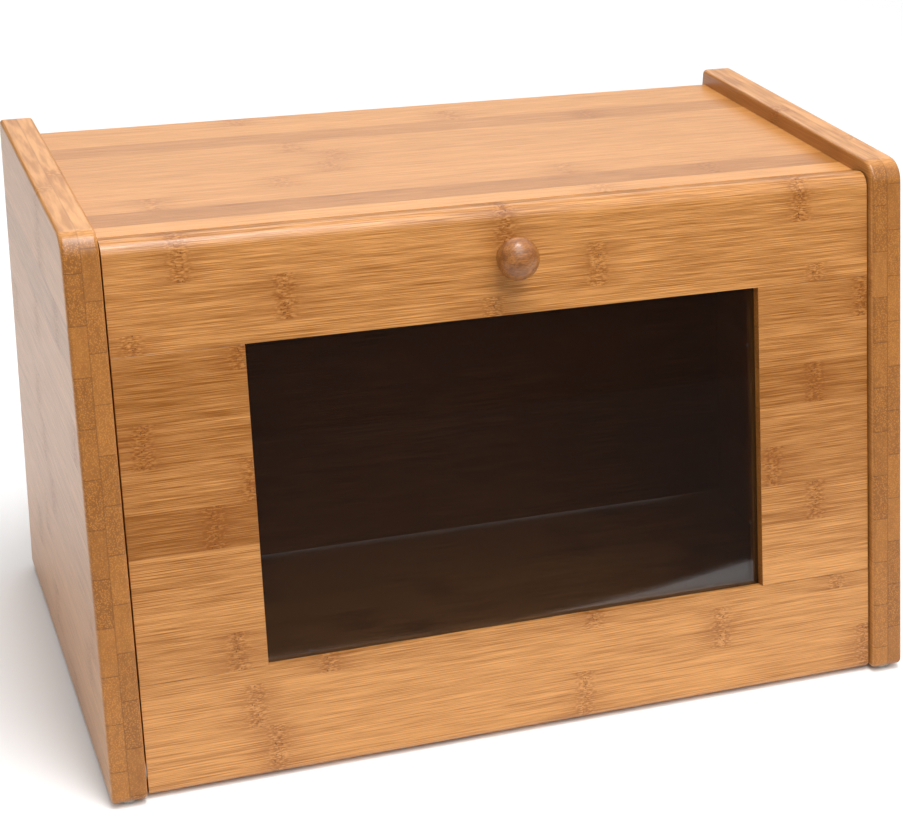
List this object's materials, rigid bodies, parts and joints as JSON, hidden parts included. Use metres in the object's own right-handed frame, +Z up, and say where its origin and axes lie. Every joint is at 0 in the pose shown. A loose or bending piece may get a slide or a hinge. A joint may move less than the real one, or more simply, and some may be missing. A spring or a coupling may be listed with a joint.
{
  "type": "bread bin",
  "caption": "Countertop bread bin of laminated bamboo with a leaning front and a drop-down window door that turns on pins at its bottom edge.",
  "frame": {"origin": "on the surface the bin stands on, under the middle of its footprint", "axes": "+X to the right along the width, +Y to the back, +Z up; the door faces -Y"},
  "size_m": [0.38, 0.225, 0.2374],
  "materials": {
    "side_bamboo": "caramel bamboo, two-ply edge, satin lacquer",
    "panel_bamboo": "pale caramel bamboo strips, satin lacquer",
    "door_bamboo": "golden caramel bamboo strips, satin lacquer",
    "knob_wood": "turned bamboo, glossy lacquer",
    "dowel_wood": "plain unfinished wood",
    "smoked_glass": "dark tinted glass, polished",
    "steel": "bright zinc plate",
    "magnet_plating": "nickel plate",
    "nylon": "natural nylon, satin",
    "clear_pad": "clear soft pad, satin"
  },
  "bodies": {
    "case": {"back_panel": "panel_bamboo", "catch_magnet_left": "magnet_plating", "catch_magnet_right": "magnet_plating", "dowel_floor_left_1": "dowel_wood", "dowel_floor_left_2": "dowel_wood", "dowel_floor_left_3": "dowel_wood", "dowel_floor_right_1": "dowel_wood", "dowel_floor_right_2": "dowel_wood", "dowel_floor_right_3": "dowel_wood", "dowel_top_left_1": "dowel_wood", "dowel_top_left_2": "dowel_wood", "dowel_top_left_3": "dowel_wood", "dowel_top_right_1": "dowel_wood", "dowel_top_right_2": "dowel_wood", "dowel_top_right_3": "dowel_wood", "floor_panel": "panel_bamboo", "foot_front_left": "clear_pad", "foot_front_right": "clear_pad", "foot_rear_left": "clear_pad", "foot_rear_right": "clear_pad", "hinge_pin_left": "steel", "hinge_pin_right": "steel", "side_left": "side_bamboo", "side_right": "side_bamboo", "top_panel": "panel_bamboo"},
    "door": {"bead_bottom": "door_bamboo", "bead_left": "door_bamboo", "bead_pin_1": "steel", "bead_pin_2": "steel", "bead_pin_3": "steel", "bead_pin_4": "steel", "bead_pin_5": "steel", "bead_pin_6": "steel", "bead_pin_7": "steel", "bead_pin_8": "steel", "bead_right": "door_bamboo", "bead_top": "door_bamboo", "door_rail_bottom": "door_bamboo", "door_rail_top": "door_bamboo", "door_stile_left": "door_bamboo", "door_stile_right": "door_bamboo", "hinge_bush_left": "nylon", "hinge_bush_right": "nylon", "knob": "knob_wood", "knob_screw": "steel", "strike_disc_left": "steel", "strike_disc_right": "steel", "window_glass": "smoked_glass"}
  },
  "joints": [
    {"name": "door_hinge", "type": "hinge", "parent": "case", "child": "door", "pos_m": [0, -0.10165, 0.01088], "axis": [1, 0, 0], "range_deg": [0, 98]}
  ]
}
